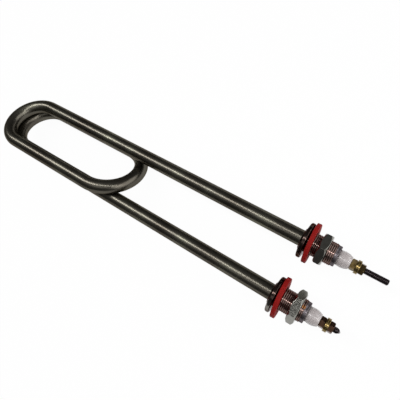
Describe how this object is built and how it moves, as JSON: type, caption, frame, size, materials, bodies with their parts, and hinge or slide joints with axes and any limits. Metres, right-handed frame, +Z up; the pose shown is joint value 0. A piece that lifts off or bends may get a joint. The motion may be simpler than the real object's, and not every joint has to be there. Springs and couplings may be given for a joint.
{
  "type": "water heater element",
  "caption": "Tubular immersion heating element bent into a flat hairpin coil, with threaded bushes, red gaskets, lock nuts, ceramic insulators and brass terminals.",
  "frame": {"origin": "midway between the axes of the two legs, in the plane of the collars' outer faces, where the tank's wall goes", "axes": "+X out of the tank along the terminals, +Y from the left leg to the right leg, +Z up with both legs level"},
  "size_m": [0.3591, 0.0744, 0.0418],
  "materials": {
    "tube_steel": "satin, dark from heat",
    "fitting_steel": "machined, dull",
    "nut_steel": "machined, dull",
    "gasket_rubber": "matt",
    "bead_ceramic": "glazed",
    "terminal_brass": "dull, tarnished",
    "pin_steel": "dark",
    "fill_powder": "pressed powder",
    "seal_rubber": "matt",
    "coil_wire": "oxidised"
  },
  "bodies": {
    "element": {"heating_tube": "tube_steel", "magnesia_fill": "fill_powder", "resistance_coil": "coil_wire", "right_fitting": "fitting_steel", "right_gasket": "gasket_rubber", "right_end_seal": "seal_rubber", "right_insulator": "bead_ceramic", "right_terminal_pin": "pin_steel", "right_inner_nut": "terminal_brass", "right_inner_washer": "terminal_brass", "right_outer_washer": "terminal_brass", "left_fitting": "fitting_steel", "left_gasket": "gasket_rubber", "left_end_seal": "seal_rubber", "left_insulator": "bead_ceramic", "left_terminal_pin": "pin_steel", "left_inner_nut": "terminal_brass", "left_inner_washer": "terminal_brass", "left_outer_washer": "terminal_brass"},
    "right_lock_nut": {"right_lock_nut": "nut_steel"},
    "left_lock_nut": {"left_lock_nut": "nut_steel"},
    "right_outer_nut": {"right_outer_nut": "terminal_brass"},
    "left_outer_nut": {"left_outer_nut": "terminal_brass"}
  },
  "joints": [
    {"name": "right_lock_nut_travel", "type": "slide", "parent": "element", "child": "right_lock_nut", "axis": [1, 0, 0], "range_m": [-0.0033, 0.0076]},
    {"name": "left_lock_nut_travel", "type": "slide", "parent": "element", "child": "left_lock_nut", "axis": [1, 0, 0], "range_m": [-0.0062, 0.0048]},
    {"name": "right_outer_nut_travel", "type": "slide", "parent": "element", "child": "right_outer_nut", "axis": [1, 0, 0], "range_m": [0, 0.0162]},
    {"name": "left_outer_nut_travel", "type": "slide", "parent": "element", "child": "left_outer_nut", "axis": [1, 0, 0], "range_m": [0, 0.0044]}
  ]
}
